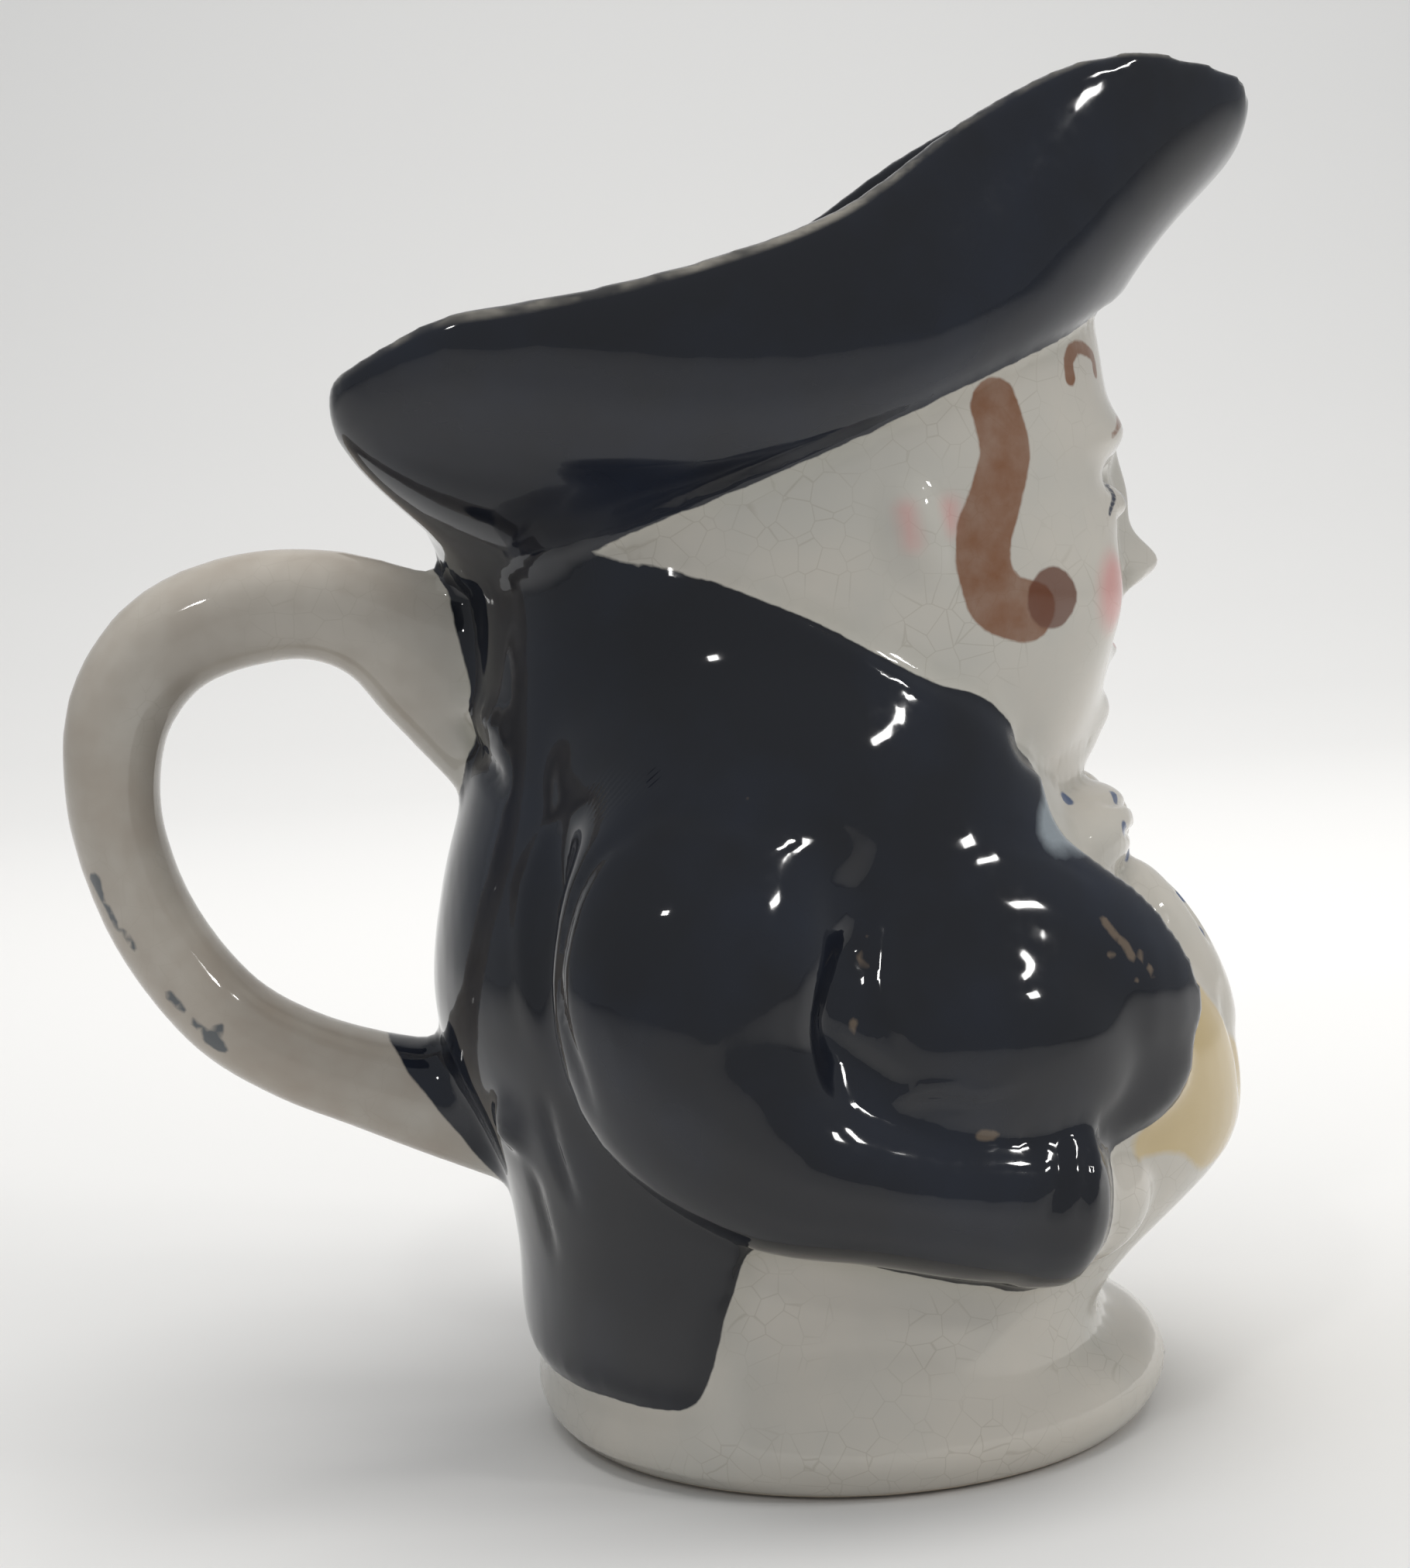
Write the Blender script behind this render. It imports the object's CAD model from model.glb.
import math

import bmesh
import bpy
import numpy as np
from mathutils import Euler, Matrix, Vector
from mathutils.bvhtree import BVHTree
from mathutils.kdtree import KDTree


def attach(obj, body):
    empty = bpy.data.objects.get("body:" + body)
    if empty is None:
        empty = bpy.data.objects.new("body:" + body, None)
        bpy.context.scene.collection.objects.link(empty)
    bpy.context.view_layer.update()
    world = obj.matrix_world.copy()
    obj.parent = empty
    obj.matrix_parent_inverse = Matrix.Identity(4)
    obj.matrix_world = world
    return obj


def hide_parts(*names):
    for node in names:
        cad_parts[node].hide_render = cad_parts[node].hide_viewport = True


# A toby jug: a stout pottery man whose three-cornered hat is the jug's rim. Sizes are in millimetres
# unless a note says otherwise. "Forward" is the way the figure faces, -Y, and its right side is at -X.

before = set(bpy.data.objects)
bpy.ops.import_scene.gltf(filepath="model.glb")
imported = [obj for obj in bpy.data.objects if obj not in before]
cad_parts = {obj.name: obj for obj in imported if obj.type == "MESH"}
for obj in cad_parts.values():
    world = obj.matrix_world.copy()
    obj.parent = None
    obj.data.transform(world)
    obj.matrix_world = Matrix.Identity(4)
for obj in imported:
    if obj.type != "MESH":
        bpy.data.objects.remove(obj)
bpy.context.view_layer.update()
mm = 0.001


# small tools

def startClean():
    if bpy.context.object and bpy.context.object.mode != "OBJECT":
        bpy.ops.object.mode_set(mode="OBJECT")
    bpy.ops.object.select_all(action="DESELECT")


def choose(objects):
    startClean()
    for obj in objects:
        obj.select_set(True)
    bpy.context.view_layer.objects.active = objects[0]


def settle(obj, name):
    # its place goes into its mesh, so that the object sits at the origin
    choose([obj])
    bpy.ops.object.transform_apply(location=True, rotation=True, scale=True)
    obj.name = name
    return obj


def copyOf(obj):
    choose([obj])
    bpy.ops.object.duplicate()
    return bpy.context.object


def joinUp(name, objects):
    choose(objects)
    if len(objects) > 1:
        bpy.ops.object.join()
    obj = bpy.context.object
    obj.name = name
    return obj


def applyModifier(obj, kind, **settings):
    choose([obj])
    bpy.ops.object.modifier_add(type=kind)
    modifier = obj.modifiers[-1]
    for key, value in settings.items():
        setattr(modifier, key, value)
    bpy.ops.object.modifier_apply(modifier=modifier.name)
    return obj


def readPlaces(obj):
    flat = np.empty(len(obj.data.vertices) * 3)
    obj.data.vertices.foreach_get("co", flat)
    return flat.reshape(-1, 3) / mm


def writePlaces(obj, places):
    obj.data.vertices.foreach_set("co", (places * mm).ravel())
    obj.data.update()


def readNormals(obj):
    flat = np.empty(len(obj.data.vertices) * 3)
    obj.data.vertices.foreach_get("normal", flat)
    return flat.reshape(-1, 3)


def spot(x, forward, z):
    return np.array((x, -forward, z), float)


def between(rows, place):
    # the columns of a table at a place between its rows, on a smooth curve through them
    last = len(rows) - 1
    i = 0
    while i < last - 1 and rows[i + 1][0] < place:
        i += 1
    before, start, end, after = rows[max(i - 1, 0)], rows[i], rows[i + 1], rows[min(i + 2, last)]
    span = end[0] - start[0]
    t = min(max((place - start[0]) / span, 0), 1)
    values = []
    for c in range(1, len(start)):
        slopeIn = (end[c] - before[c]) / (end[0] - before[0]) * span
        slopeOut = (after[c] - start[c]) / (after[0] - start[0]) * span
        rise = end[c] - start[c]
        bend = slopeIn + slopeOut - 2 * rise
        values.append(start[c] + t * (slopeIn + t * (3 * rise - 2 * slopeIn - slopeOut + t * bend)))
    return values


def numbered(rows):
    return [(i / (len(rows) - 1), *row) for i, row in enumerate(rows)]


def squared(value, squareness):
    return math.copysign(abs(value) ** (2 / squareness), value)


def easeBetween(value, low, high):
    t = np.clip((value - low) / (high - low), 0, 1)
    return t * t * (3 - 2 * t)


def within(*rows):
    # 1 where every row's value is past its high, 0 where any is short of its low
    share = 1
    for value, low, high in rows:
        share = share * easeBetween(value, low, high)
    return share


def measured(places):
    # across from the middle, forward and height
    return np.abs(places[:, 0]), -places[:, 1], places[:, 2]


def clayBlank(name, around, rings, place, centre):
    # a cylinder of extruded rings, pressed into shape: place(turn, share) for its skin, where a turn of
    # zero faces forward, and centre(share) for the middles of its two ends
    startClean()
    bpy.ops.mesh.primitive_cylinder_add(vertices=around, radius=1, depth=1 / rings, end_fill_type="TRIFAN",
                                        location=(0, 0, 0.5 / rings))
    obj = settle(bpy.context.object, name)
    bpy.ops.object.mode_set(mode="EDIT")
    bpy.ops.mesh.select_mode(type="FACE")
    bpy.ops.mesh.select_all(action="DESELECT")
    cage = bmesh.from_edit_mesh(obj.data)
    for face in cage.faces:
        face.select_set(face.normal.z > 0.9)
    bmesh.update_edit_mesh(obj.data)
    for _ in range(rings - 1):
        bpy.ops.mesh.extrude_region_move(TRANSFORM_OT_translate={"value": (0, 0, 1 / rings)})
    bpy.ops.object.mode_set(mode="OBJECT")
    places = readPlaces(obj) * mm
    for i, (x, y, z) in enumerate(places):
        share = min(max(z, 0), 1)
        places[i] = centre(share) if math.hypot(x, y) < 0.5 else place(math.atan2(x, -y), share)
    writePlaces(obj, places)
    return obj


def clayLimb(name, rows, around=28, along=40):
    # a roll of clay along a smooth path. Rows: across, forward, height, half width, half depth
    path = numbered(rows)
    step = 1e-3

    def middle(share):
        return spot(*between(path, share)[:3])

    def skin(turn, share):
        ahead = middle(min(share + step, 1)) - middle(max(share - step, 0))
        ahead /= np.linalg.norm(ahead)
        wide = np.array((1, 0, 0)) - ahead * ahead[0]
        wide /= np.linalg.norm(wide)
        halfWide, halfDeep = between(path, share)[3:]
        deep = np.cross(ahead, wide)
        return middle(share) + wide * halfWide * math.cos(turn) + deep * halfDeep * math.sin(turn)

    return clayBlank(name, around, along, skin, middle)


def clayEgg(name, x, forward, z, half, pitch=0, roll=0, yaw=0):
    startClean()
    bpy.ops.mesh.primitive_uv_sphere_add(
        segments=40, ring_count=20, radius=mm, scale=half,
        location=(x * mm, -forward * mm, z * mm), rotation=(pitch, roll, yaw))
    return settle(bpy.context.object, name)


def otherSide(obj):
    copy = copyOf(obj)
    bpy.ops.object.mode_set(mode="EDIT")
    bpy.ops.mesh.select_all(action="SELECT")
    bpy.ops.transform.resize(value=(-1, 1, 1), center_override=(0, 0, 0))
    bpy.ops.mesh.normals_make_consistent(inside=False)
    bpy.ops.object.mode_set(mode="OBJECT")
    return copy


def bothSides(obj):
    return [obj, otherSide(obj)]


def patternBlock(name, outline, low, high, sideways):
    # a flat outline drawn out into a block, seen from the side (forward, height) or from the front
    # (across, height)
    startClean()
    bpy.ops.mesh.primitive_circle_add(vertices=len(outline), radius=mm, fill_type="NGON")
    obj = settle(bpy.context.object, name)
    places = np.array([(low, -a, b) if sideways else (a, -low, b) for a, b in outline], float)
    writePlaces(obj, places)
    bpy.ops.object.mode_set(mode="EDIT")
    bpy.ops.mesh.select_all(action="SELECT")
    reach = (high - low) * mm
    drawnOut = (reach, 0, 0) if sideways else (0, -reach, 0)
    bpy.ops.mesh.extrude_region_move(TRANSFORM_OT_translate={"value": drawnOut})
    bpy.ops.mesh.select_all(action="SELECT")
    bpy.ops.mesh.normals_make_consistent(inside=False)
    bpy.ops.object.mode_set(mode="OBJECT")
    return obj


def cutAway(obj, cutters, operation="DIFFERENCE"):
    for cutter in cutters:
        applyModifier(obj, "BOOLEAN", object=cutter, operation=operation, solver="EXACT")
        bpy.data.objects.remove(cutter)
    return obj


def remesh(obj, size):
    choose([obj])
    obj.data.remesh_voxel_size = size * mm
    bpy.ops.object.voxel_remesh()
    return obj


class Surface:
    # a mesh kept for measuring: distances to it, and where a straight look meets it
    def __init__(self, objects, skip=None):
        points, faces = [], []
        for obj in objects:
            start = len(points)
            points += [tuple(p) for p in readPlaces(obj)]
            faces += [[v + start for v in face.vertices] for face in obj.data.polygons
                      if skip is None or not skip(face)]
        self.tree = BVHTree.FromPolygons(points, faces)

    def distance(self, places, most):
        found = (self.tree.find_nearest(p, most)[3] for p in places)
        return np.array([most if d is None else d for d in found])

    def look(self, view, way, height):
        # the first place met by a straight look: way is forward from the side, or across from the front
        away = 90
        looks = {"side": ((-away, -way, height), (1, 0, 0)), "front": ((way, -away, height), (0, 1, 0))}
        hit = self.tree.ray_cast(*looks[view])[0]
        return None if hit is None else np.array(hit)


# floor, backdrop, camera and lights

stageLook = {
    "floorColour": (0.79, 0.785, 0.775),
    "nearColour": (0.62, 0.62, 0.615),
    "worldStrength": 0.34,
    "cameraPlace": (-298.36, 31.36, 100),
    "cameraTurn": (90 - 7.153, -3.797 - 90),
    "cameraRoll": -3,
    "lens": 70.97,
}

# name: place, the point it looks at, size across and up, power in watts, colour
lampRows = {
    "skyLamp": ((20, 20, 700), (0, 50, 30), (640, 640), 4.1, (1, 0.985, 0.965)),
    "wallLamp": ((330, -100, 1000), (1000, -400, 760), (700, 1500), 5, (1, 0.985, 0.97)),
    "windowNear": ((-640, 330, 620), (0, 0, 60), (60, 60), 0.5, (1, 0.99, 0.97)),
    "windowFront": ((-330, -640, 600), (0, 0, 60), (170, 34), 0.8, (1, 0.99, 0.97)),
    "windowLow": ((-420, -600, 430), (0, 0, 60), (90, 50), 0.6, (1, 0.99, 0.97)),
}


def makeStage():
    startClean()
    # a floor that sweeps up into a wall behind the jug
    bpy.ops.mesh.primitive_plane_add(size=1, location=(0, 0, 0))
    floor = bpy.context.object
    floor.scale = (1.1, 3.2, 1)
    floor.location = (-0.05, 0, 0)
    settle(floor, "floor")
    bpy.ops.object.mode_set(mode="EDIT")
    bpy.ops.mesh.select_mode(type="EDGE")
    bpy.ops.mesh.select_all(action="DESELECT")
    sheet = bmesh.from_edit_mesh(floor.data)
    for edge in sheet.edges:
        edge.select_set(all(v.co.x > 0.4 for v in edge.verts))
    bmesh.update_edit_mesh(floor.data)
    sweepSteps, sweepRadius = 12, 0.7
    step = sweepRadius * math.pi / 2 / sweepSteps
    for i in range(sweepSteps):
        angle = math.radians(90 * (i + 0.5) / sweepSteps)
        bpy.ops.mesh.extrude_region_move(
            TRANSFORM_OT_translate={"value": (step * math.cos(angle), 0, step * math.sin(angle))})
    bpy.ops.mesh.extrude_region_move(TRANSFORM_OT_translate={"value": (0, 0, 1.2)})
    bpy.ops.mesh.select_all(action="SELECT")
    bpy.ops.mesh.normals_make_consistent(inside=True)
    bpy.ops.object.mode_set(mode="OBJECT")
    bpy.ops.object.shade_smooth()
    material = bpy.data.materials.new("paleSweep")
    material.use_nodes = True
    tree = material.node_tree
    shader = tree.nodes["Principled BSDF"]
    shader.inputs["Roughness"].default_value = 0.85
    shader.inputs["Specular IOR Level"].default_value = 0.2
    where = addNode(tree, "ShaderNodeTexCoord").outputs["Object"]
    parts = addNode(tree, "ShaderNodeSeparateXYZ", {"Vector": where})
    near = addNode(tree, "ShaderNodeMapRange",
                   {"Value": parts.outputs["X"], "From Min": -0.19, "From Max": -0.05},
                   interpolation_type="SMOOTHSTEP").outputs["Result"]
    mixed = mixColours(tree, stageLook["nearColour"], stageLook["floorColour"], near)
    tree.links.new(mixed, shader.inputs["Base Color"])
    floor.data.materials.append(material)
    if floor.data.polygons[0].normal.z < 0:
        choose([floor])
        bpy.ops.object.mode_set(mode="EDIT")
        bpy.ops.mesh.select_all(action="SELECT")
        bpy.ops.mesh.flip_normals()
        bpy.ops.object.mode_set(mode="OBJECT")


def makeCamera():
    startClean()
    place = Matrix.Translation(Vector(stageLook["cameraPlace"]) * mm)
    tilt, turn = (math.radians(v) for v in stageLook["cameraTurn"])
    bpy.ops.object.camera_add()
    camera = bpy.context.object
    camera.name = "camera"
    camera.matrix_world = (place @ Euler((tilt, 0, turn)).to_matrix().to_4x4()
                           @ Matrix.Rotation(math.radians(stageLook["cameraRoll"]), 4, "Z"))
    camera.data.sensor_fit = "VERTICAL"
    camera.data.sensor_height = 36
    camera.data.lens = stageLook["lens"]
    camera.data.clip_start = 0.01
    bpy.context.scene.camera = camera


def makeLights():
    for name, (place, aim, size, power, colour) in lampRows.items():
        startClean()
        bpy.ops.object.light_add(type="AREA", location=Vector(place) * mm)
        lamp = bpy.context.object
        lamp.name = name
        lamp.rotation_euler = (Vector(place) - Vector(aim)).to_track_quat("Z", "Y").to_euler()
        lamp.data.shape = "RECTANGLE"
        lamp.data.size, lamp.data.size_y = size[0] * mm, size[1] * mm
        lamp.data.energy = power
        lamp.data.color = colour
        lamp.visible_glossy = name.startswith("window")  # only the windows are mirrored in the glaze
    world = bpy.data.worlds.new("studioAir")
    bpy.context.scene.world = world
    world.use_nodes = True
    world.node_tree.nodes["Background"].inputs["Color"].default_value = (0.93, 0.965, 1, 1)
    world.node_tree.nodes["Background"].inputs["Strength"].default_value = stageLook["worldStrength"]
    bpy.context.scene.view_settings.view_transform = "Standard"


# material tools

def addNode(tree, kind, inputs=None, **settings):
    made = tree.nodes.new(kind)
    for key, value in settings.items():
        setattr(made, key, value)
    for key, value in (inputs or {}).items():
        socket = made.inputs[key]
        if isinstance(value, bpy.types.NodeSocket):
            tree.links.new(value, socket)
        else:
            socket.default_value = value
    return made


def mixColours(tree, under, over, mask):
    made = tree.nodes.new("ShaderNodeMix")
    made.data_type = "RGBA"
    for socket, value in ((made.inputs[6], under), (made.inputs[7], over), (made.inputs[0], mask)):
        if isinstance(value, bpy.types.NodeSocket):
            tree.links.new(value, socket)
        elif isinstance(value, tuple):
            socket.default_value = (*value, 1)
        else:
            socket.default_value = value
    return made.outputs[2]


def calculate(tree, operation, first, second=0.0, third=0.0):
    return addNode(tree, "ShaderNodeMath", {0: first, 1: second, 2: third}, operation=operation).outputs[0]


makeStage()
makeCamera()
makeLights()
print("floor, camera and lights are set")


# the body: foot, trunk and breeches

footSize = {"radius": 31.3, "side": 1.04, "height": 8}
# height, reach forward, reach back, half width
trunkRows = [
    (2, 23.8, 30.4, 31.4),
    (8, 23.8, 30.5, 31),
    (12, 24, 30.6, 30.2),
    (15, 26.4, 30.6, 29.7),
    (18, 29.6, 30.6, 29.6),
    (22, 34.5, 31, 30),
    (26, 38.3, 31.6, 30.6),
    (31, 39.4, 33.4, 31.8),
    (38, 38.2, 36.4, 32.6),
    (45, 34, 37.4, 32.6),
    (55, 26.2, 35.8, 31),
    (64, 21.4, 33.2, 28.8),
    (73, 18.6, 31.8, 27),
    (90, 16, 30.8, 26),
]
trunkSquareness = 2.25
wall = {"body": 4, "hat": 3.2, "floorTop": 8, "coat": 1.7}


def trunkSpot(turn, height, margin):
    front, back, half = between(trunkRows, height)
    along = squared(math.cos(turn), trunkSquareness)
    reach = (front if along > 0 else back) + margin
    return spot((half + margin) * squared(math.sin(turn), trunkSquareness), reach * along, height)


def makeTrunk(name, bottom, top, rings, margin):
    def level(share):
        return bottom + (top - bottom) * share

    return clayBlank(name, 72, rings, lambda turn, share: trunkSpot(turn, level(share), margin),
                     lambda share: spot(0, 0, level(share)))


def makeFoot():
    radius, side, height = footSize.values()
    # share of the way up its skin, height, reach
    rows = [
        (0, 0, radius - 3.2),
        (0.12, 0.5, radius - 2.2),
        (0.25, 1.8, radius - 1.1),
        (0.5, height * 0.52, radius),
        (0.68, height * 0.8, radius - 0.4),
        (0.8, height * 0.97, radius - 2),
        (0.9, height + 0.8, radius - 4.5),
        (1, height + 1.3, radius - 7.5),
    ]

    def skin(turn, share):
        z, reach = between(rows, share)
        return spot(reach * side * math.sin(turn), reach * math.cos(turn), z)

    return clayBlank("foot", 96, 14, skin, lambda share: spot(0, 0, between(rows, share)[0]))


foot = makeFoot()
trunk = makeTrunk("trunk", 2, 86, 42, 0)
pockets = bothSides(clayEgg("pocket", 22, 17, 26, (10.2, 9.4, 7.6)))

# the coat: the trunk's own form, thicker, with a full front, cut away at the collar, the hem and in front

coatCut = {
    # seen from the side: forward, height
    "collar": [(-60, 87.4), (-25, 86.2), (-18.5, 85.6), (-13.2, 84), (-6.3, 80.9), (0.4, 77.2), (7.2, 73.1),
               (11.4, 71.6), (14.4, 69.2), (18, 64.4), (40, 60)],
    "hem": [(60, 52), (37, 46), (35.4, 42), (34, 39.2), (31.4, 36), (28, 33.6), (24.3, 32.2), (18, 31.4),
            (8, 30), (-6, 28), (-11.7, 25.2), (-16.4, 11.8), (-18.6, 9.2), (-25, 9), (-60, 9)],
    # seen from the front: height, half width
    "opening": [(26, 31), (30, 28.4), (33, 25.6), (37, 23.4), (42, 22.6), (50, 22.6), (58, 22), (64, 20),
                (70, 17), (90, 12)],
}


def smoothLine(points, steps=6):
    rows = numbered(points)
    count = (len(points) - 1) * steps
    return [tuple(between(rows, i / count)) for i in range(count + 1)]


def makeCoat():
    body = makeTrunk("coat", 8, 90, 41, wall["coat"])
    fronts = bothSides(clayEgg("coatFront", 14, 5.6, 48.6, (20.8, 30.5, 17), pitch=0.38))
    cutAway(body, fronts, "UNION")
    low, high, steps = 26, 90, 24
    heights = [low + (high - low) * i / steps for i in range(steps + 1)]
    edge = [(between(coatCut["opening"], height)[0], height) for height in heights]
    outline = edge + [(-half, height) for half, height in reversed(edge)]
    cutAway(body, [
        patternBlock("opening", outline, 2, 60, False),
        patternBlock("belowHem", smoothLine(coatCut["hem"]) + [(-60, -10), (60, -10)], -60, 60, True),
        patternBlock("aboveCollar", smoothLine(coatCut["collar"]) + [(60, 130), (-60, 130)], -60, 60, True),
    ])
    return body


coat = makeCoat()
# across, forward, height, half width, half depth
armRows = [
    (16, -7, 74, 4, 5),
    (25, -11, 63.6, 8.8, 11.4),
    (29.8, -14.6, 52, 11, 13),
    (31.2, -14.6, 42, 11, 12.4),
    (31.8, -9, 34, 10.4, 9.6),
    (31.4, 0, 30.4, 9.6, 7.9),
    (29.8, 10, 28, 9, 8.2),
    (28.2, 17, 26.9, 8.2, 7.8),
    (27.6, 19.6, 26.6, 5.4, 5.2),
]
cuffRows = [
    (28.8, 12.4, 27.7, 9.3, 8.9),
    (28.5, 14.6, 27.4, 9.3, 8.9),
    (28.2, 16.8, 27.1, 9.1, 8.7),
    (28.1, 18.2, 26.9, 8.6, 8.2),
]
sleeves = bothSides(clayLimb("sleeve", armRows)) + bothSides(clayLimb("cuff", cuffRows, along=8))
# clay that fills the bend of the elbow, and rounds the shoulder over the sleeve
sleeves += bothSides(clayEgg("elbowFill", 22, 6.4, 41.6, (16.4, 20, 15), pitch=0.16))
sleeves += bothSides(clayEgg("shoulder", 14.6, -7, 63, (19.6, 21.5, 19)))

# the head, throat and neckcloth

headSize = {"forward": -1.5, "height": 84, "front": 30.6, "back": 30.5, "half": 26.6, "up": 56, "down": 32,
            "low": 60, "high": 109, "squareness": 2.3}


def headSpot(turn, height, inset):
    rise = height - headSize["height"]
    share = min(abs(rise) / (headSize["up" if rise > 0 else "down"] - inset), 1)
    girth = (1 - share ** headSize["squareness"]) ** (1 / headSize["squareness"])
    reach = headSize["front" if math.cos(turn) > 0 else "back"] - inset
    return spot((headSize["half"] - inset) * girth * squared(math.sin(turn), headSize["squareness"]),
                headSize["forward"] + reach * girth * squared(math.cos(turn), headSize["squareness"]), height)


def makeHeadEgg(name, low, high, inset, rings):
    return clayBlank(name, 80, rings, lambda turn, share: headSpot(turn, low + (high - low) * share, inset),
                     lambda share: spot(0, headSize["forward"], low + (high - low) * share))


head = makeHeadEgg("head", headSize["low"], headSize["high"], 0, 40)
ears = bothSides(clayEgg("ear", 25.8, 6.4, 87.2, (1.5, 3, 5), pitch=-0.2))
throat = clayEgg("throat", 0, 15, 63.4, (16, 10.4, 6.6))
neckcloth = [clayEgg("knot", 0, 26.4, 56.4, (4.2, 3.8, 4.2))]
neckcloth += bothSides(clayEgg("clothLoop", 9.4, 23.4, 56.8, (9, 5, 4.4), roll=0.2, yaw=0.4))
neckcloth += bothSides(clayEgg("clothFall", 6.4, 32.7, 44.4, (6.8, 3.6, 10.8), pitch=-0.5, roll=0.16))

# the hat: its brim is the jug's rim

hatFoot = {"forward": -2, "front": 32, "back": 32, "half": 26.6, "height": 95, "rise": 0.38}
# angle round the head in degrees; the rim's half width, forward and height; how far the brim leaves its
# foot, out and up; how far it swells below the rim, out and down
hatRows = [
    (0, 0, 44, 123.4, 4, 8, -0.4, 5.5),
    (12, 8.5, 42.2, 127, 4, 7.6, 0.4, 7),
    (26, 14, 35.4, 129, 4.4, 7, 1.8, 9.6),
    (42, 19, 25.4, 128.9, 4.4, 5, 3, 11),
    (58, 23.4, 13.4, 123.7, 4.6, 3.5, 3.2, 10.5),
    (76, 28.6, 0.6, 115.6, 4.8, 2.6, 3.2, 9),
    (96, 32.6, -14, 111.1, 5, 2.4, 3, 8.5),
    (116, 34.8, -27, 108.7, 5, 2.6, 2.6, 8),
    (131, 34.5, -35.4, 107.6, 5, 3, 3, 8),
    (143, 31.4, -42.8, 104, 5, 4, 3.4, 7.5),
    (152, 25, -44, 103, 4.6, 4.6, 3.4, 7.5),
    (166, 13, -39.6, 104.6, 3.8, 5.6, 3, 7.5),
    (180, 0, -37.6, 105.4, 3.4, 6, 3, 7.5),
]


def brimSpot(turn, share):
    side = -1 if math.sin(turn) < 0 else 1
    degrees = abs(math.degrees(math.atan2(math.sin(turn), math.cos(turn))))
    rimX, rimForward, rimZ, out, up, swell, drop = between(hatRows, degrees)
    reach = hatFoot["front" if math.cos(turn) > 0 else "back"]
    forward = hatFoot["forward"] + reach * math.cos(turn)
    start = spot(hatFoot["half"] * math.sin(turn), forward, hatFoot["height"] + hatFoot["rise"] * forward)
    end = spot(side * rimX, rimForward, rimZ)
    outward = end * (1, 1, 0)
    outward /= np.linalg.norm(outward)
    leave = start + outward * out + (0, 0, up)
    arrive = end + outward * swell - (0, 0, drop)
    rest = 1 - share
    return (rest ** 3 * start + 3 * share * rest ** 2 * leave + 3 * share * share * rest * arrive
            + share ** 3 * end)


def brimInside(turn, share, depth):
    step = 0.01
    rise = brimSpot(turn, min(share + step, 1)) - brimSpot(turn, max(share - step, 0))
    normal = np.cross(brimSpot(turn + step, share) - brimSpot(turn - step, share), rise)
    return brimSpot(turn, share) - normal / np.linalg.norm(normal) * depth


def makeHat():
    sunk, depth = 0.12, 12  # the share of the rings, and the depth in the head, below the brim's foot

    def skin(turn, share):
        along = (share - sunk) / (1 - sunk)
        if along >= 0:
            return brimSpot(turn, along)
        return brimSpot(turn, 0) * (0.8, 0.8, 1) + (0, 0, depth * along * (1 - sunk) / sunk)

    return clayBlank("hat", 120, 25, skin, lambda share: spot(0, 2, 84 + 30 * share))


def makeHollow():
    rimShare, over = 0.86, 14  # where the rings reach the rim, and how far they go on above it

    def skin(turn, share):
        inside = brimInside(turn, min(share / rimShare, 1), wall["hat"])
        return inside + (0, 0, over * max(share - rimShare, 0) / (1 - rimShare))

    hat = clayBlank("hatHollow", 96, 14, skin, lambda share: spot(0, 2, 92 + 40 * share))
    body = makeTrunk("bodyHollow", wall["floorTop"], 84, 20, -wall["body"])
    neck = makeHeadEgg("neckHollow", 57, 110, wall["body"], 20)
    return hat, joinUp("lowerHollow", [body, neck])


hat = makeHat()

# the handle. Forward, height, half thickness, half width
handleRows = [
    (-27.5, 70.4, 11.4, 6.4),
    (-36.2, 75.9, 8, 6),
    (-42, 80, 6, 5.7),
    (-48, 82.1, 5.4, 5.6),
    (-55, 81.9, 5.5, 5.6),
    (-62.2, 79.3, 5.4, 5.6),
    (-67.2, 73.2, 5.1, 5.6),
    (-68.6, 65.4, 4.6, 5.6),
    (-67.7, 58.3, 4.4, 5.5),
    (-64.8, 50.6, 4.4, 5.4),
    (-59.4, 43, 4.5, 5.3),
    (-53, 38.5, 4.6, 5.4),
    (-46, 35.5, 4.9, 5.6),
    (-38, 32.8, 5.9, 6),
    (-28, 30, 7.4, 6.6),
]
handle = clayLimb("handle", [(0, s, z, wide, thick) for s, z, thick, wide in handleRows], along=60)
print("the clay forms are made")

# surfaces kept for measuring where each colour of glaze stops
coatSurface = Surface([coat] + sleeves)
handleSurface = Surface([handle])
hatSurface = Surface([hat], skip=lambda face: len(face.vertices) == 3)
clothSurface = Surface(neckcloth)
paleSurface = Surface([head, throat, trunk, foot] + ears + pockets + neckcloth)
hatHollow, lowerHollow = makeHollow()
hollowSurface = Surface([hatHollow], skip=lambda face: len(face.vertices) == 3)
lowerSurface = Surface([lowerHollow])

# everything outside becomes one body of clay, then the hollow is cut from it

clay = {"voxel": 0.88, "firstSmooth": 7, "hollowVoxel": 1.6, "hollowSmooth": 4, "rimSmooth": 12,
        "footAndBendSmooth": 36, "shoulderSmooth": 110, "coatEdgeSmooth": 16, "insideKept": 0.07}

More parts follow.
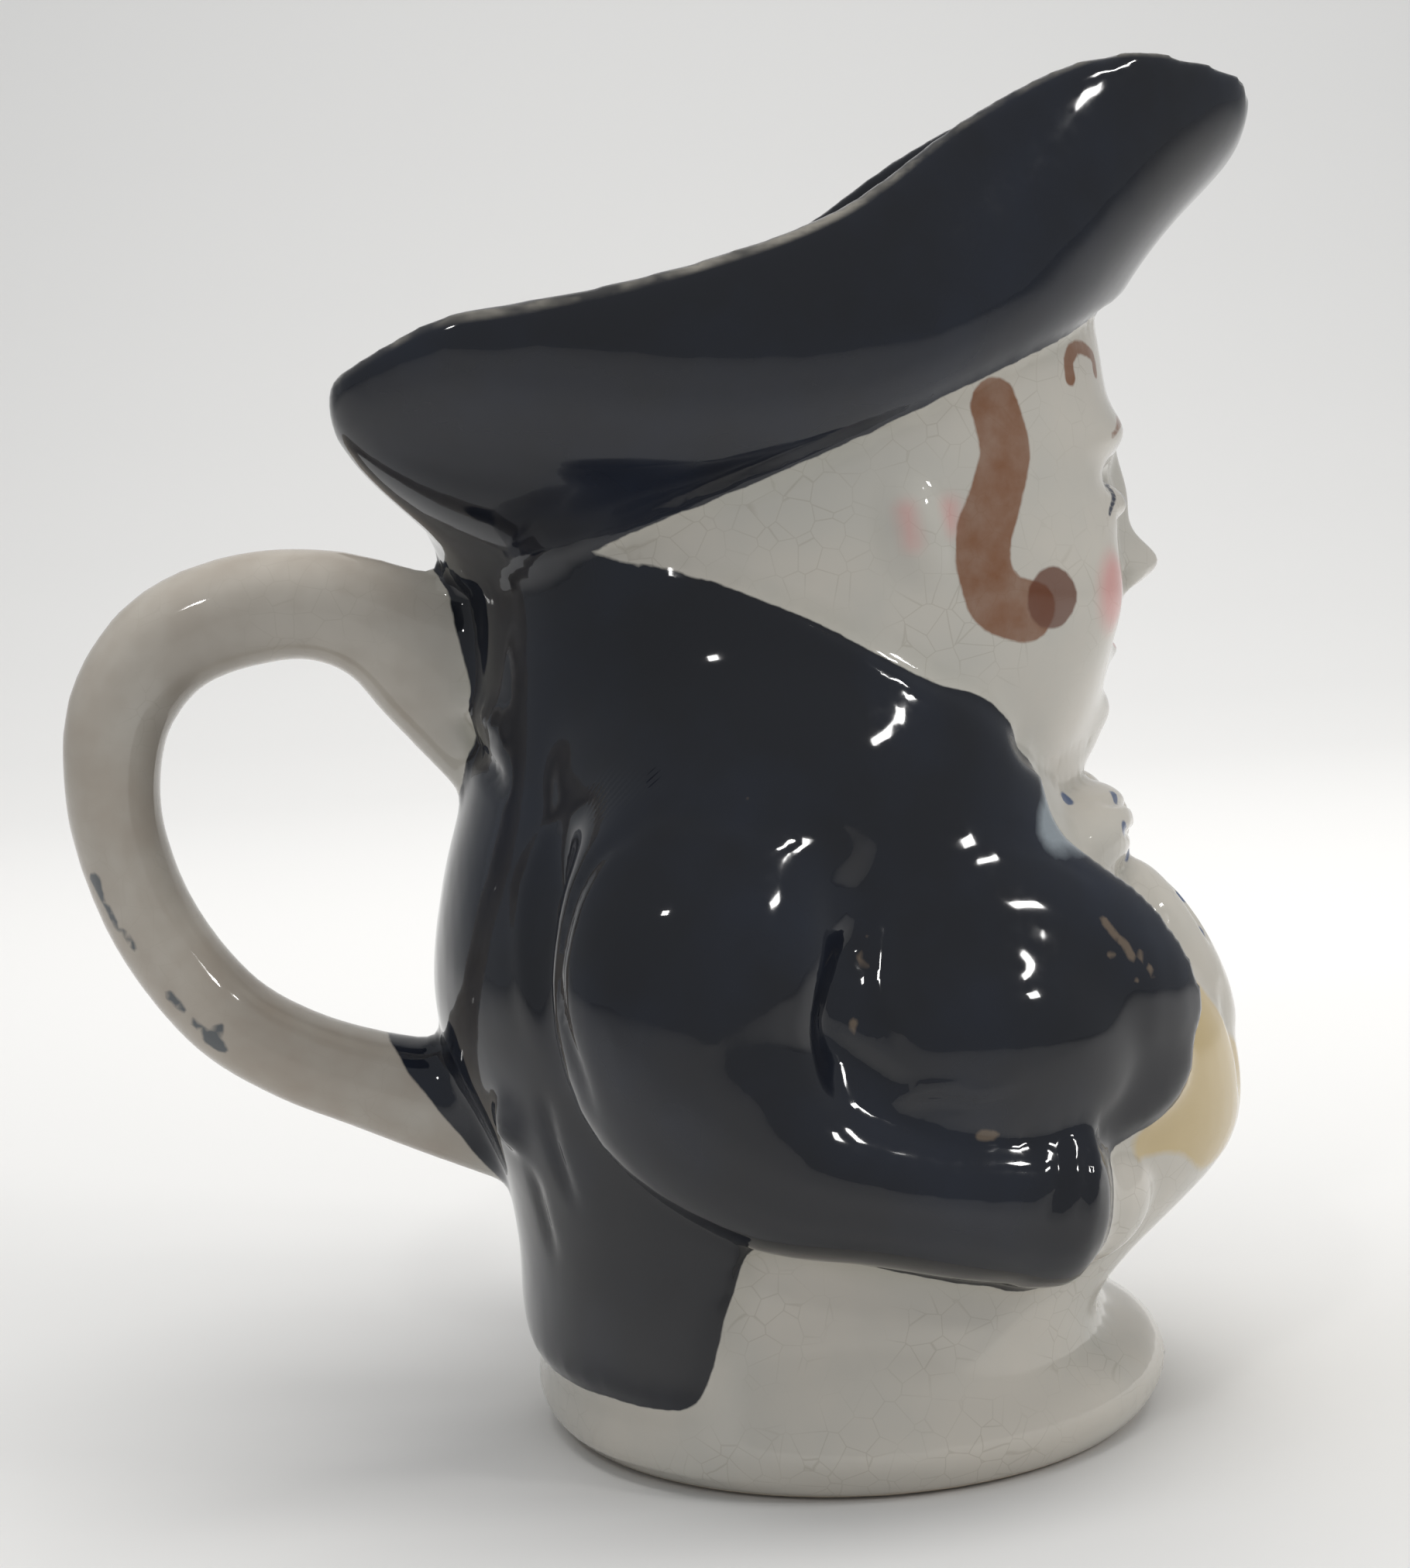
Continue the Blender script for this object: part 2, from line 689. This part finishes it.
clayForms = [foot, trunk, coat, head, throat, hat, handle] + ears + pockets + sleeves + neckcloth
tobyJug = joinUp("tobyJug", clayForms)
remesh(tobyJug, clay["voxel"])
hollow = joinUp("hollow", [hatHollow, lowerHollow])
remesh(hollow, clay["hollowVoxel"])
applyModifier(hollow, "SMOOTH", factor=0.5, iterations=clay["hollowSmooth"])
cutAway(tobyJug, [hollow])
remesh(tobyJug, clay["voxel"])
applyModifier(tobyJug, "SMOOTH", factor=0.5, iterations=clay["firstSmooth"])


def smoothWhere(obj, amount, iterations):
    # smooths the mesh where amount, from 0 to 1, asks for it
    group = obj.vertex_groups.new(name="softened")
    for i in np.nonzero(amount > 0.02)[0]:
        group.add([int(i)], float(amount[i]), "REPLACE")
    applyModifier(obj, "SMOOTH", factor=0.5, iterations=iterations, vertex_group="softened")
    obj.vertex_groups.remove(obj.vertex_groups["softened"])


def ringTree(count, place):
    # for finding the nearest of count places round the rim
    tree = KDTree(count)
    for i in range(count):
        tree.insert(place(math.radians(360 * i / count)), i)
    tree.balance()
    return tree


rimMiddle = ringTree(720, lambda turn: brimInside(turn, 1, wall["hat"] / 2))
rimEdge = ringTree(1440, lambda turn: brimSpot(turn, 1))


def rimDistance(places):
    return np.array([rimMiddle.find(p)[2] for p in places])


places = readPlaces(tobyJug)
smoothWhere(tobyJug, easeBetween(-rimDistance(places), -4.6, -2.4), clay["rimSmooth"])
across, forward, height = measured(places)
outer = lowerSurface.distance(places, 12) > 2.2
overFoot = within((height, 2, 7), (-height, -19, -13)) * (0.5 + 0.5 * easeBetween(forward, -8, 6))
belowCollar = np.interp(forward, *np.transpose(coatCut["collar"])) - height
overShoulder = within((height, 56, 61), (belowCollar, 2, 6), (across, 15, 21), (forward, -28, -22),
                      (-forward, -16, -9))
overBend = within((height, 36, 39.5), (-height, -64, -58), (across, 19, 23), (forward, -6, -2),
                  (-forward, -26, -21))
coatBand = easeBetween(-np.abs(coatSurface.distance(places, 6) - paleSurface.distance(places, 6)), -2.6, -1.7)
coatBand *= 0.35 + 0.65 * easeBetween(forward, -2, 8)
smoothWhere(tobyJug, np.maximum(overFoot, overBend) * outer, clay["footAndBendSmooth"])
smoothWhere(tobyJug, overShoulder * outer, clay["shoulderSmooth"])
smoothWhere(tobyJug, coatBand * outer, clay["coatEdgeSmooth"])
print("one body of clay:", len(tobyJug.data.polygons), "faces")


class Clay:
    # the jug's mesh while its details are worked, with quick ways to reach its points. outside, set from
    # without, says which points are on the outer skin
    def __init__(self, obj):
        self.obj = obj
        self.places = readPlaces(obj)
        self.normals = readNormals(obj)
        self.surface = Surface([obj])
        self.tree = KDTree(len(self.places))
        for i, p in enumerate(self.places):
            self.tree.insert(p, i)
        self.tree.balance()
        edges = np.empty(len(obj.data.edges) * 2, int)
        obj.data.edges.foreach_get("vertices", edges)
        self.edges = edges.reshape(-1, 2)
        self.neighbours = np.maximum(np.bincount(edges, minlength=len(self.places)), 1)
        self.shift = np.zeros(len(self.places))

    def along(self, points, view, gap):
        # a drawn line laid onto the surface: points are (forward, z) from the side, (x, z) from the front
        points = np.array(points, float)
        count = max(int(np.linalg.norm(np.diff(points, axis=0), axis=1).sum() / gap), 1)
        drawn = [points[0]]
        if len(points) > 1:
            rows = numbered([tuple(p) for p in points])
            drawn = [between(rows, i / count) for i in range(count + 1)]
        laid = [(self.surface.look(view, p[0], p[1]), i / count) for i, p in enumerate(drawn)]
        return [(p, share) for p, share in laid if p is not None]

    def press(self, points, view, radius, depth, both=True):
        # a groove (negative depth) or ridge of that radius, fading out over the taper at its ends
        taper = 0.3
        laid = self.along(points, view, gap=max(radius * 0.35, 0.2))
        for side in (1, -1) if both else (1,):
            change = {}
            for place, share in laid:
                fade = min(1, share / taper, (1 - share) / taper)
                fade = math.sin(fade * math.pi / 2) if len(laid) > 1 else 1
                for _, i, d in self.tree.find_range(place * (side, 1, 1), radius * 2.3):
                    value = fade * math.exp(-1.4 * (d / radius) ** 2)
                    if value > change.get(i, 0):
                        change[i] = value
            for i, value in change.items():
                if self.outside[i]:
                    self.shift[i] += value * depth

    def finishPressing(self):
        self.places += self.normals * self.shift[:, None]
        self.shift = np.zeros(len(self.places))
        writePlaces(self.obj, self.places)
        applyModifier(self.obj, "SMOOTH", factor=0.4, iterations=1)
        self.places = readPlaces(self.obj)
        self.normals = readNormals(self.obj)

    def neighbourSum(self, values):
        first, second = self.edges.T
        count = len(self.places)
        return np.bincount(first, values[second], count) + np.bincount(second, values[first], count)

    def spread(self, values, times):
        # each value becomes the mean of itself and its neighbours
        for _ in range(times):
            values = 0.5 * values + 0.5 * self.neighbourSum(values) / self.neighbours
        return values

    def hollows(self):
        # how far each point lies below its neighbours, in millimetres
        mean = np.stack([self.neighbourSum(self.places[:, c]) / self.neighbours for c in range(3)], 1)
        return np.einsum("ij,ij->i", mean - self.places, self.normals)

    def ink(self, lines, view, both=True):
        # how deep each point lies inside drawn strokes: rows of (points, radius at start, radius at end)
        field = np.full(len(self.places), -6.0)
        for points, startRadius, endRadius in lines:
            for place, share in self.along(points, view, gap=0.25):
                radius = startRadius + (endRadius - startRadius) * share
                for side in (1, -1) if both else (1,):
                    for _, i, d in self.tree.find_range(place * (side, 1, 1), radius + 2.5):
                        if radius - d > field[i]:
                            field[i] = radius - d
        return field


def selectPlaces(obj, chosen):
    # selects the faces whose points are all chosen, and goes into edit mode
    choose([obj])
    bpy.ops.object.mode_set(mode="EDIT")
    bpy.ops.mesh.select_mode(type="VERT")
    bpy.ops.mesh.select_all(action="DESELECT")
    bpy.ops.object.mode_set(mode="OBJECT")
    obj.data.vertices.foreach_set("select", chosen)
    bpy.ops.object.mode_set(mode="EDIT")
    bpy.ops.mesh.select_mode(type="FACE")


# the inside needs fewer faces, and the face and neckcloth need more
places = readPlaces(tobyJug)
hollowDepth = np.minimum(hollowSurface.distance(places, 8), lowerSurface.distance(places, 8))
outsideSurfaces = [coatSurface, handleSurface, hatSurface, paleSurface]
outsideDepth = np.min([surface.distance(places, 8) for surface in outsideSurfaces], axis=0)
selectPlaces(tobyJug, (hollowDepth < outsideDepth - 1.2) & (rimDistance(places) > 5))
bpy.ops.mesh.decimate(ratio=clay["insideKept"])
bpy.ops.object.mode_set(mode="OBJECT")
places = readPlaces(tobyJug)
normals = readNormals(tobyJug)
across, forward, height = measured(places)
front = (across < 19) & (forward > 12) & (height > 41) & (normals[:, 1] < -0.15)
front &= height < 97 + 0.4 * (forward - 10)
front &= ~((height < 66) & (across > 16))
selectPlaces(tobyJug, front)
bpy.ops.mesh.subdivide(number_cuts=1)
bpy.ops.object.mode_set(mode="OBJECT")
print("ready for its details:", sum(len(f.vertices) - 2 for f in tobyJug.data.polygons), "triangles")

jug = Clay(tobyJug)
places = jug.places
fromCoat, fromHandle, fromHat, fromPale, fromCloth, fromHollow = (
    surface.distance(places, 12)
    for surface in (coatSurface, handleSurface, hatSurface, paleSurface, clothSurface, hollowSurface))
fromLower = lowerSurface.distance(places, 12)
rimAway = rimDistance(places)
inward = np.minimum(fromHollow, fromLower)
jug.outside = jug.spread(np.clip(inward - 2, -2, 2), 8) > 0
across, forward, height = measured(places)

# where each glaze lies: positive inside its area, zero along its edge

fromHeadSide = np.minimum(fromPale, fromCoat)
hatGlaze = np.minimum(np.minimum(fromHeadSide, fromHandle + 0.4) - fromHat,
                      np.maximum(fromHollow - fromHat + 1.2, 6 - rimAway))
upperEnd = forward - (-35.6 + 0.19 * (84 - height))
lowerEnd = ((forward + 43) * 14.5 + (height - 38.6) * 10) / 17.6
handleEnd = np.where(height > 56, upperEnd, lowerEnd)
coatGlaze = np.minimum(fromPale - np.minimum(fromCoat, fromHandle),
                       np.maximum(handleEnd, fromHandle - fromCoat))
coatGlaze = np.where(jug.outside, jug.spread(np.where(jug.outside, coatGlaze, 0), 3), coatGlaze)
lapelWidth = 2.2 * easeBetween(height, 46, 54) * easeBetween(-height, -67, -59) * easeBetween(forward, 14, 18)
lapel = np.where(lapelWidth > 0.3, lapelWidth - coatGlaze, -4)
blackGlaze = np.where(jug.outside, np.maximum(hatGlaze, coatGlaze), np.minimum(hatGlaze, 5.5 - rimAway))
clothGlaze = 1.2 - fromCloth
waistLine = 19.6 + 0.36 * across + 0.7 * np.sin(across * 0.6)
yellowGlaze = np.min([height - waistLine, 50 - 0.1 * across - height, 27 - across, forward - 15, -clothGlaze,
                      np.full(len(places), 6.0)], axis=0)
print("glaze areas are measured")

# the face: calm, with ordinary proportions. Across, height, half width, half height, how far it stands out
faceForms = [
    (8.2, 94.6, 8, 2.6, 1.3),  # brow
    (8.6, 90, 4.8, 2.6, -1.5),  # eye socket
    (8.6, 88.4, 3.9, 2, 1.9),  # eyelid
    (0, 88, 2.5, 6, 2),  # bridge of the nose
    (0, 81.6, 2.9, 3, 4.2),  # tip of the nose
    (3.1, 80.9, 1.8, 2, 1.7),  # wing of the nose
    (0, 77, 4.6, 1.5, 0.7),  # upper lip
    (0, 75.2, 6.4, 0.9, -1),  # parting of the lips
    (0, 73.4, 4.6, 1.6, 1.3),  # lower lip
    (0, 70.6, 4.6, 1.3, -0.7),  # hollow over the chin
    (0, 66.6, 6.4, 3.8, 2.6),  # chin
    (15.5, 79.5, 6.5, 6.5, 1.6),  # cheek
]
outwardWay = places * (1, 1, 0)
outwardWay /= np.maximum(np.linalg.norm(outwardWay, axis=1), 1e-6)[:, None]
facing = easeBetween(-outwardWay[:, 1], 0.1, 0.5) * jug.outside * (fromHat > 0.5)
relief = np.zeros(len(places))
for acrossAt, heightAt, halfWide, halfHigh, out in faceForms:
    away = ((across - acrossAt) / halfWide) ** 2 + ((height - heightAt) / halfHigh) ** 2
    relief += out * np.exp(-1.2 * away)
relief *= facing * easeBetween(height, 60, 64) * np.clip(fromCloth - 0.5, 0, 1) * np.clip(fromCoat, 0, 1)
jug.places += outwardWay * relief[:, None]
writePlaces(tobyJug, jug.places)
applyModifier(tobyJug, "SMOOTH", factor=0.3, iterations=1)


def freshClay(old):
    made = Clay(old.obj)
    made.outside = old.outside
    return made


jug = freshClay(jug)

# pressed lines: points, view, radius, depth
faceLines = [
    ([(4.6, 88.4), (6.6, 90.2), (9.2, 90.5), (12.2, 88.9)], "front", 0.7, -0.55),  # fold over the eyelid
    ([(5, 86.9), (7, 86.2), (9.4, 86.3), (11.8, 87.2)], "front", 0.7, -0.35),  # under the eye
    ([(4.6, 81.8), (4.8, 80.2), (3.6, 79.3)], "front", 0.6, -0.5),  # round the wing of the nose
    ([(1.6, 79.4)], "front", 0.7, -0.6),  # nostril
    ([(6.2, 81), (8.4, 77.6), (9, 74.6)], "front", 1.6, -0.6),  # fold from nose to mouth
    ([(0, 78.9), (0, 77.3)], "front", 0.7, -0.35),  # groove above the lip
    ([(0, 75.2), (2.4, 75.5), (5.4, 75.1)], "front", 0.5, -0.35),  # between the lips
]
coatLines = [
    ([(-0.1, 59.5), (-0.6, 54.5), (-2.1, 51.4), (-3.6, 48.4), (-4.5, 46.1), (-4, 44.1), (-1.8, 42),
      (0.5, 40.3), (1.8, 39)], "side", 1.2, -0.8),  # the bend of the elbow
    ([(0, 40.4), (1.6, 38.8), (3.6, 39.3), (6.5, 39), (9, 38.6), (12, 39.2)], "side", 0.5, 0.5),
    ([(2.6, 37.8), (5.5, 38), (8.5, 37.4), (12.4, 38)], "side", 1.1, -0.4),
    ([(2.4, 54.6), (1, 50.6), (0.6, 47.4), (2.6, 43.6)], "side", 1.1, 0.5),
    ([(-22, 62.4), (-18, 64.6), (-13, 64), (-8, 62.8), (-4, 62.2), (-1, 60)], "side", 1.5, -0.3),
    ([(-19, 63.6), (-22.8, 61.4), (-25.3, 58), (-26.8, 53.8), (-27.4, 50.6), (-27.2, 46.6), (-25.9, 41.7),
      (-25, 38)], "side", 1.0, -0.5),
    ([(-23.4, 67), (-27.2, 62), (-29.6, 57), (-30.4, 52), (-30.2, 46), (-28.8, 41)], "side", 1.4, 0.25),
    ([(-34.6, 71), (-33.6, 68), (-31, 65.4)], "side", 1.3, -0.9),  # under the collar at the nape
    ([(-35.5, 71.6), (-33, 71.8), (-30.6, 70)], "side", 1.6, 0.7),
    ([(-32.4, 36.4), (-32.5, 34.3), (-32.4, 32.4)], "side", 1.9, 1.3),  # button at the waist
    ([(-29.2, 38), (-28.6, 33), (-27, 27)], "side", 0.9, -0.5),
    ([(-30.6, 29.6), (-30, 25.4), (-29, 21)], "side", 1.2, -0.4),
    ([(15.8, 34.4), (15.5, 30.5), (14, 26.8)], "side", 0.65, -0.55),  # pleats of the cuff
    ([(18.2, 33.4), (18, 30.2), (16.8, 26.4)], "side", 0.6, -0.45),
    ([(10, 61.6), (16, 59.4), (21.4, 56.2)], "side", 0.7, -0.12),
    ([(11, 60.2), (17, 57.8), (22, 54.6)], "side", 0.7, -0.12),
]
clothLines = [
    ([(3.6, 57.4), (8, 59.4), (13, 60)], "front", 0.7, -0.6),
    ([(3.8, 56), (8.4, 56.4), (13.6, 57)], "front", 0.7, -0.6),
    ([(3, 53), (4.4, 49.6), (4.6, 45)], "front", 0.8, -0.6),
    ([(5.4, 53), (8, 49.6), (9.2, 45.4)], "front", 0.8, -0.6),
    ([(0, 53.5), (0, 49), (0, 45.5)], "front", 0.8, -0.9),
    ([(0, 33.5)], "front", 1.2, 1.0),  # waistcoat buttons
    ([(0, 28)], "front", 1.2, 1.0),
    ([(10.6, 42), (11.4, 36), (10.8, 30)], "front", 1.0, -0.35),
]
for points, view, radius, depth in faceLines + coatLines + clothLines:
    jug.press(points, view, radius, depth, both=points[0][0] != 0 or view == "side")
jug.finishPressing()
print("folds and features are pressed")

# painted strokes: points, radius at the start, radius at the end
jug = freshClay(jug)
brushWork = {
    # seen from the side
    "hair": [([(14.6, 97.6), (15.3, 93.6), (14.2, 89.6), (13, 86.6), (12.8, 83.6), (14, 80.4), (17, 79.2)],
              2.7, 2.9)],
    "curl": [([(19.4, 80.2)], 2.9, 2.9)],
    "forelock": [([(22.6, 100), (22.6, 101.6), (24, 102.6), (25.6, 101.8), (25.9, 100.4)], 0.9, 0.6)],
    "flecks": [([(21.6, 51.6), (22.6, 50.2)], 0.5, 0.4), ([(23.4, 49.4), (23.9, 48.2)], 0.5, 0.4),
               ([(24.9, 48.2)], 0.5, 0.5), ([(21.9, 48.8)], 0.45, 0.45),
               ([(25.6, 47), (26, 46.2)], 0.45, 0.3), ([(24.2, 46.2)], 0.35, 0.35),
               ([(8.6, 34.8), (9.8, 34.6)], 0.5, 0.45), ([(-1, 51), (-0.8, 50)], 0.4, 0.3),
               ([(-0.2, 52.4)], 0.35, 0.35), ([(-2.2, 45.6), (-2.4, 44.6)], 0.4, 0.3),
               ([(-10.5, 65.2)], 0.45, 0.45)],
    "specks": [([(-70.4, 57.3), (-69.8, 55.4)], 0.75, 0.5), ([(-69.4, 54.6), (-68.6, 52.8)], 0.55, 0.4),
               ([(-68, 52.2), (-67.4, 51.2)], 0.45, 0.3), ([(-67.2, 50.6), (-66.6, 49.6)], 0.4, 0.25),
               ([(-64.2, 45.9), (-63, 44.4)], 0.45, 0.35), ([(-62.2, 43.2), (-61.2, 42.2)], 0.4, 0.35),
               ([(-60.6, 41.4), (-59.6, 40.4)], 0.85, 0.65), ([(-59.6, 42.4)], 0.5, 0.5)],
    "prints": [([(-22, 66), (-17, 67.5)], 3.2, 2.6), ([(15, 60.6), (18, 58.6)], 2.6, 2.2)],
    "blush": [([(5.6, 89), (6.1, 86.2)], 0.6, 0.5), ([(9.8, 89), (9.9, 87.4)], 0.7, 0.6)],
}
frontWork = {
    "lash": [([(4.9, 88), (6.6, 89.5), (9.2, 89.8), (12, 88.3), (13.4, 87.2)], 0.38, 0.3)],
    "pupil": [([(8.5, 88.3)], 1.05, 1.05)],
    "brow": [([(4.4, 94), (8.2, 95.8), (12.6, 94.4)], 0.7, 0.35)],
    "lips": [([(0, 76), (2.4, 76.3), (4.8, 75.3)], 0.8, 0.3), ([(0, 74.2), (2.6, 74.3), (4.8, 75)], 1, 0.3),
             ([(0, 75.1), (3, 75.2)], 0.9, 0.6)],
    "cheek": [([(15.4, 80)], 3.6, 3.6)],
}
ink = {name: jug.ink(rows, "side") for name, rows in brushWork.items()}
ink |= {name: jug.ink(rows, "front") for name, rows in frontWork.items()}
spots = [(-12.6, 57.4), (-9.4, 60), (-6, 55.4), (-9.6, 54.6), (-4.4, 58.6), (-13.2, 60.6), (0, 57.4),
         (-3.2, 51.4), (-6.8, 49.6), (-2.6, 46.8), (-8.9, 46.4), (-5.6, 44.4), (5.2, 59), (8.6, 55.2),
         (11.8, 58.6), (13.4, 55.6), (3, 49.4), (7.4, 51.2), (8.7, 47), (4.6, 44.8), (-0.9, 54.2)]
ink["spots"] = jug.ink([([place], 0.72, 0.72) for place in spots], "front", both=False)
ink["spots"] = np.minimum(ink["spots"], clothGlaze)
ink["rim"] = 1.15 - np.array([rimEdge.find(p)[2] for p in jug.places])
hollowness = jug.spread(jug.hollows(), 3)

# the mesh carries each area as a value of its own
areas = {
    "black": blackGlaze,
    "lapel": lapel,
    "yellow": yellowGlaze,
    "brown": np.max([ink["hair"], ink["brow"], ink["forelock"]], axis=0),
    "ink": np.maximum(ink["lash"], ink["pupil"]),
    "red": ink["lips"],
    "blush": np.maximum(ink["blush"], ink["cheek"]),
    "hollowness": hollowness * 10,
}
areas |= {name: ink[name] for name in ("curl", "flecks", "rim", "specks", "prints", "spots")}
for name, values in areas.items():
    layer = tobyJug.data.attributes.new(name, "FLOAT", "POINT")
    layer.data.foreach_set("value", values.astype(np.float32))

glazes = {
    "pale": (0.6, 0.56, 0.495),
    "paleCool": (0.54, 0.52, 0.47),
    "pooled": (0.36, 0.35, 0.29),
    "handle": (0.47, 0.43, 0.375),
    "handleWarm": (0.36, 0.295, 0.235),
    "black": (0.010, 0.011, 0.015),
    "blackBlue": (0.014, 0.018, 0.03),
    "blackThin": (0.04, 0.04, 0.035),
    "lapel": (0.3, 0.34, 0.37),
    "yellow": (0.57, 0.44, 0.225),
    "brown": (0.215, 0.09, 0.04),
    "curl": (0.13, 0.04, 0.018),
    "ink": (0.02, 0.026, 0.05),
    "red": (0.5, 0.05, 0.06),
    "blush": (0.72, 0.22, 0.22),
    "specks": (0.045, 0.065, 0.085),
    "spots": (0.05, 0.09, 0.2),
    "fleck": (0.16, 0.12, 0.085),
    "worn": (0.3, 0.28, 0.24),
    "cracks": (0.3, 0.26, 0.2),
    "bare": (0.52, 0.43, 0.33),
}


def makeGlaze():
    material = bpy.data.materials.new("glazedPottery")
    material.use_nodes = True
    tree = material.node_tree
    shader = tree.nodes["Principled BSDF"]
    where = addNode(tree, "ShaderNodeTexCoord").outputs["Object"]

    def area(name):
        return addNode(tree, "ShaderNodeAttribute", attribute_name=name).outputs["Fac"]

    def noise(scale, detail=3, roughness=0.55, distortion=0.0):
        values = {"Vector": where, "Scale": scale, "Detail": detail, "Roughness": roughness,
                  "Distortion": distortion}
        return addNode(tree, "ShaderNodeTexNoise", values).outputs["Fac"]

    def ranged(value, low, high, toLow=0.0, toHigh=1.0, smooth=False):
        values = {"Value": value, "From Min": low, "From Max": high, "To Min": toLow, "To Max": toHigh}
        return addNode(tree, "ShaderNodeMapRange", values,
                       interpolation_type="SMOOTHSTEP" if smooth else "LINEAR").outputs["Result"]

    wobble = ranged(noise(260), 0.25, 0.75, -0.22, 0.22)

    def painted(name, soft=0.13, shaky=1.0):
        value = calculate(tree, "MULTIPLY_ADD", wobble, shaky, area(name))
        return ranged(value, -soft, soft)

    def laidOn(under, glaze, mask, strength):
        return mixColours(tree, under, glazes[glaze], calculate(tree, "MULTIPLY", mask, strength))

    cloudy = noise(46, 4)
    fine = noise(700, 2)
    pale = mixColours(tree, glazes["pale"], glazes["paleCool"], ranged(cloudy, 0.38, 0.62))
    pooling = ranged(area("hollowness"), 0.1, 1.1)
    pale = laidOn(pale, "pooled", pooling, 0.7)
    # fine cracks in the pale glaze
    cells = addNode(tree, "ShaderNodeTexVoronoi", {"Vector": where, "Scale": 420.0},
                    feature="DISTANCE_TO_EDGE")
    cracks = ranged(cells.outputs["Distance"], 0.0, 0.03, 1.0, 0.0)
    cracks = calculate(tree, "MULTIPLY", cracks, ranged(noise(70, 2), 0.46, 0.62, 0.02, 0.34))
    pale = mixColours(tree, pale, glazes["cracks"], cracks)
    parts = addNode(tree, "ShaderNodeSeparateXYZ", {"Vector": where})
    onHandle = ranged(calculate(tree, "MULTIPLY_ADD", cloudy, 0.006, parts.outputs["Y"]), 0.037, 0.043)
    bands = ranged(noise(120, 2), 0.35, 0.65, 0.55, 1.0)
    pale = laidOn(pale, "handle", onHandle, bands)
    warm = calculate(tree, "MULTIPLY", onHandle, ranged(noise(30, 5, 0.7), 0.42, 0.7, 0.0, 0.6))
    pale = mixColours(tree, pale, glazes["handleWarm"], warm)
    colour = laidOn(pale, "blush", ranged(area("blush"), -1.4, 1.6, smooth=True), 0.55)
    colour = laidOn(colour, "yellow", painted("yellow", 0.35), 0.92)
    stroke = ranged(noise(240, 4), 0.3, 0.7, 0.78, 1.0)
    colour = laidOn(colour, "brown", painted("brown"), stroke)
    colour = laidOn(colour, "curl", painted("curl"), 0.85)
    colour = laidOn(colour, "red", painted("red", shaky=0.4), 0.85)
    colour = mixColours(tree, colour, glazes["ink"], painted("ink", 0.1, 0.3))
    colour = laidOn(colour, "specks", painted("specks", 0.16, 1.6), 0.85)
    colour = laidOn(colour, "spots", painted("spots"), 0.9)
    edges = ranged(area("hollowness"), -1.6, -0.7, 1.0, 0.0)
    black = mixColours(tree, glazes["black"], glazes["blackBlue"], ranged(noise(34, 4), 0.44, 0.66))
    black = laidOn(black, "blackThin", edges, 0.7)
    worn = ranged(area("rim"), -0.1, 0.5, smooth=True)
    black = laidOn(black, "worn", worn, ranged(noise(150, 3), 0.4, 0.62, 0.1, 0.8))
    black = laidOn(black, "lapel", painted("lapel", 0.35), 0.85)
    colour = mixColours(tree, colour, black, painted("black", 0.1, 0.7))
    colour = laidOn(colour, "fleck", painted("flecks"), 0.8)
    bare = ranged(parts.outputs["Z"], 0.0003, 0.0008, 1.0, 0.0)  # the foot stands on bare clay
    colour = mixColours(tree, colour, glazes["bare"], bare)
    tree.links.new(colour, shader.inputs["Base Color"])
    tree.links.new(calculate(tree, "MULTIPLY_ADD", bare, 0.6, ranged(fine, 0.3, 0.8, 0.035, 0.09)),
                   shader.inputs["Roughness"])
    shader.inputs["IOR"].default_value = 1.52
    # the glaze is slightly uneven, with finger marks on the coat
    marks = {"Vector": where, "Scale": 640.0, "Distortion": 2.4, "Detail": 1.0, "Detail Scale": 0.3}
    ridges = addNode(tree, "ShaderNodeTexWave", marks, bands_direction="DIAGONAL").outputs["Fac"]
    printed = calculate(tree, "MULTIPLY", ranged(area("prints"), -0.5, 1.8), 0.1)
    height = calculate(tree, "MULTIPLY_ADD", ridges, printed, noise(85, 2))
    uneven = addNode(tree, "ShaderNodeBump", {"Strength": 0.25, "Distance": 0.0005, "Height": height})
    tree.links.new(uneven.outputs["Normal"], shader.inputs["Normal"])
    return material


tobyJug.data.materials.clear()
tobyJug.data.materials.append(makeGlaze())
choose([tobyJug])
bpy.ops.object.shade_smooth()
print("glazed:", sum(len(f.vertices) - 2 for f in tobyJug.data.polygons), "triangles")

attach(tobyJug, "root")
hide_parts("toby_jug")
